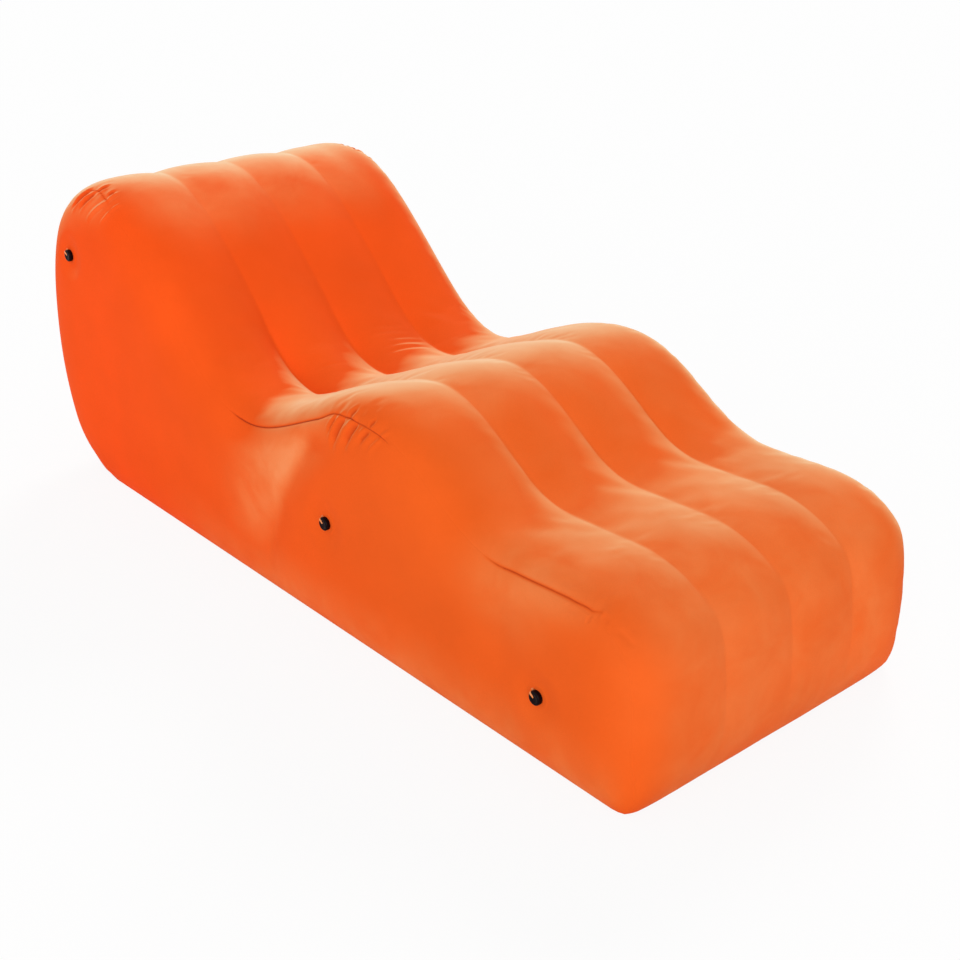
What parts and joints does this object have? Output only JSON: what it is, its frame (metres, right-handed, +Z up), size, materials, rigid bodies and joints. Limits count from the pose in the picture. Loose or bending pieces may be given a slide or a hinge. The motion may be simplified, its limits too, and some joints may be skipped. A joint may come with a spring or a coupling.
{
  "type": "inflatable sofa bed",
  "caption": "Wave-shaped inflatable lounger bed with backrest, seat hollow and knee hump, ribbed along its length, with capped air valves in one side.",
  "frame": {"origin": "on the floor, under the middle of the envelope's box", "axes": "+X towards the foot end, along the length; +Z up; the valves are in the side at -Y"},
  "size_m": [1.788, 0.692, 0.651],
  "materials": {
    "flocked_vinyl": "short flock nap, matt with a soft sheen",
    "base_vinyl": "plain vinyl, satin",
    "web_vinyl": "plain inner vinyl, satin",
    "flange_vinyl": "moulded vinyl, satin",
    "black_vinyl": "moulded black vinyl, glossy",
    "cap_vinyl": "moulded black vinyl, glossy",
    "flap_vinyl": "thin soft vinyl, satin"
  },
  "bodies": {
    "envelope": {"top_panel": "flocked_vinyl", "side_panel_near": "flocked_vinyl", "side_panel_far": "flocked_vinyl", "base_panel": "base_vinyl", "partition_seat": "web_vinyl", "partition_leg": "web_vinyl", "web_head_near": "web_vinyl", "web_head_middle": "web_vinyl", "web_head_far": "web_vinyl", "web_knee_near": "web_vinyl", "web_knee_middle": "web_vinyl", "web_knee_far": "web_vinyl", "web_foot_near": "web_vinyl", "web_foot_middle": "web_vinyl", "web_foot_far": "web_vinyl", "valve_flange_head": "flange_vinyl", "valve_flange_knee": "flange_vinyl", "valve_flange_foot": "flange_vinyl"},
    "stem_head": {"valve_stem_head": "black_vinyl"},
    "cap_head": {"valve_cap_head": "cap_vinyl"},
    "flap_head": {"valve_flap_head": "flap_vinyl"},
    "stem_knee": {"valve_stem_knee": "black_vinyl"},
    "cap_knee": {"valve_cap_knee": "cap_vinyl"},
    "flap_knee": {"valve_flap_knee": "flap_vinyl"},
    "stem_foot": {"valve_stem_foot": "black_vinyl"},
    "cap_foot": {"valve_cap_foot": "cap_vinyl"},
    "flap_foot": {"valve_flap_foot": "flap_vinyl"}
  },
  "joints": [
    {"name": "stem_pull_head", "type": "slide", "parent": "envelope", "child": "stem_head", "axis": [0, -1, 0], "range_m": [0, 0.01]},
    {"name": "cap_hinge_head", "type": "hinge", "parent": "stem_head", "child": "cap_head", "pos_m": [-0.74048, -0.34175, 0.50157], "axis": [-0.7071, 0, -0.7071], "range_deg": [0, 115]},
    {"name": "flap_hinge_head", "type": "hinge", "parent": "stem_head", "child": "flap_head", "pos_m": [-0.73588, -0.32116, 0.49698], "axis": [0.7071, 0, 0.7071], "range_deg": [0, 60]},
    {"name": "stem_pull_knee", "type": "slide", "parent": "envelope", "child": "stem_knee", "axis": [0, -1, 0], "range_m": [0, 0.01]},
    {"name": "cap_hinge_knee", "type": "hinge", "parent": "stem_knee", "child": "cap_knee", "pos_m": [0.13546, -0.343, 0.22756], "axis": [-0.7071, 0, -0.7071], "range_deg": [0, 115]},
    {"name": "flap_hinge_knee", "type": "hinge", "parent": "stem_knee", "child": "flap_knee", "pos_m": [0.14006, -0.3224, 0.22297], "axis": [0.7071, 0, 0.7071], "range_deg": [0, 60]},
    {"name": "stem_pull_foot", "type": "slide", "parent": "envelope", "child": "stem_foot", "axis": [0, -1, 0], "range_m": [0, 0.01]},
    {"name": "cap_hinge_foot", "type": "hinge", "parent": "stem_foot", "child": "cap_foot", "pos_m": [0.6724, -0.34299, 0.14255], "axis": [-0.7071, 0, -0.7071], "range_deg": [0, 115]},
    {"name": "flap_hinge_foot", "type": "hinge", "parent": "stem_foot", "child": "flap_foot", "pos_m": [0.67699, -0.32239, 0.13795], "axis": [0.7071, 0, 0.7071], "range_deg": [0, 60]}
  ]
}
